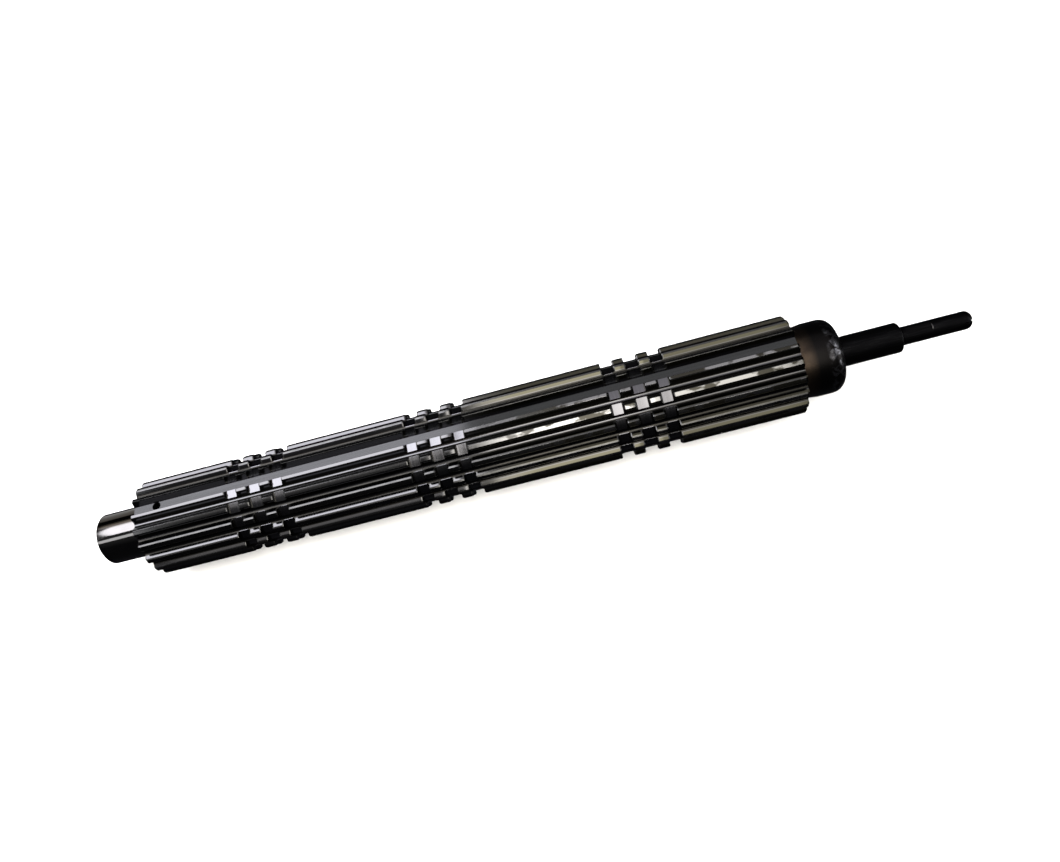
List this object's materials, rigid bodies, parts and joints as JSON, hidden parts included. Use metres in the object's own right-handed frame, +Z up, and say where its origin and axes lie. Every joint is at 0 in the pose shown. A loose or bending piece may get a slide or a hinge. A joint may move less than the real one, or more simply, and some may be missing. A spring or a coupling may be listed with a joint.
{
  "type": "transmission shaft",
  "caption": "Long splined gearbox main shaft with washer grooves, a keyway, a ground front pilot, a rear journal and a slotted drive end.",
  "frame": {"origin": "on the shaft axis, in the plane of the spline's front face, where the pilot starts", "axes": "+X along the shaft from the front pilot to the drive end, +Z up through the middle of the keyway"},
  "size_m": [0.7367, 0.0804, 0.0796],
  "materials": {
    "hardened_steel": "hardened and ground steel, dark and lightly oiled, with a black finish on the stub and drive end"
  },
  "bodies": {
    "root": {"main_shaft": "hardened_steel"}
  },
  "joints": []
}
